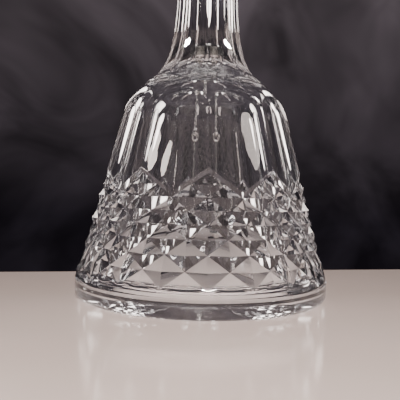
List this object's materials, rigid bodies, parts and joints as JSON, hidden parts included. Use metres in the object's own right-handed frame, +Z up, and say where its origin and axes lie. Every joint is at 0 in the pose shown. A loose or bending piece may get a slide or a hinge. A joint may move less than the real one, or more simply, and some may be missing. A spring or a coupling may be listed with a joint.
{
  "type": "glass bell",
  "caption": "Clear cut-crystal hand bell with a panelled bowl, a diamond-cut band, a fluted handle, and a crystal bead clapper on wire hangers.",
  "frame": {"origin": "centre of the rim's resting plane", "axes": "+Z up the axis, from the rim to the handle's tip; one cut ridge of the bowl faces -Y"},
  "size_m": [0.076, 0.076, 0.135],
  "materials": {
    "crystal": "cut and polished clear crystal",
    "bead_crystal": "polished clear crystal bead",
    "silver_plate": "silver-plated wire and stampings, lightly tarnished",
    "resin": "clear casting resin"
  },
  "bodies": {
    "bell": {"bell_glass": "crystal", "crown_resin": "resin", "crown_ferrule": "silver_plate", "ferrule_lid": "silver_plate"},
    "swivel": {"swivel_eye": "silver_plate"},
    "upper_hanger": {"hanger_upper": "silver_plate"},
    "lower_hanger": {"hanger_lower": "silver_plate"},
    "clapper": {"clapper_pin": "silver_plate", "cap_top": "silver_plate", "cap_bottom": "silver_plate"},
    "bead": {"clapper_bead": "bead_crystal"}
  },
  "joints": [
    {"name": "crown_swivel", "type": "hinge", "parent": "bell", "child": "swivel", "pos_m": [0, 0, 0.0705], "axis": [0, 0, 1], "continuous": true},
    {"name": "upper_swing", "type": "hinge", "parent": "swivel", "child": "upper_hanger", "pos_m": [0, 0, 0.0664], "axis": [1, 0, 0], "range_deg": [-23.2, 23.2]},
    {"name": "lower_swing", "type": "hinge", "parent": "upper_hanger", "child": "lower_hanger", "pos_m": [0, 0, 0.04807], "axis": [0, 1, 0], "range_deg": [-4, 4]},
    {"name": "clapper_swing", "type": "hinge", "parent": "lower_hanger", "child": "clapper", "pos_m": [0, 0, 0.02974], "axis": [1, 0, 0], "range_deg": [-14, 14]},
    {"name": "bead_spin", "type": "hinge", "parent": "clapper", "child": "bead", "pos_m": [0, 0, 0.02], "axis": [0, 0, 1], "continuous": true}
  ]
}
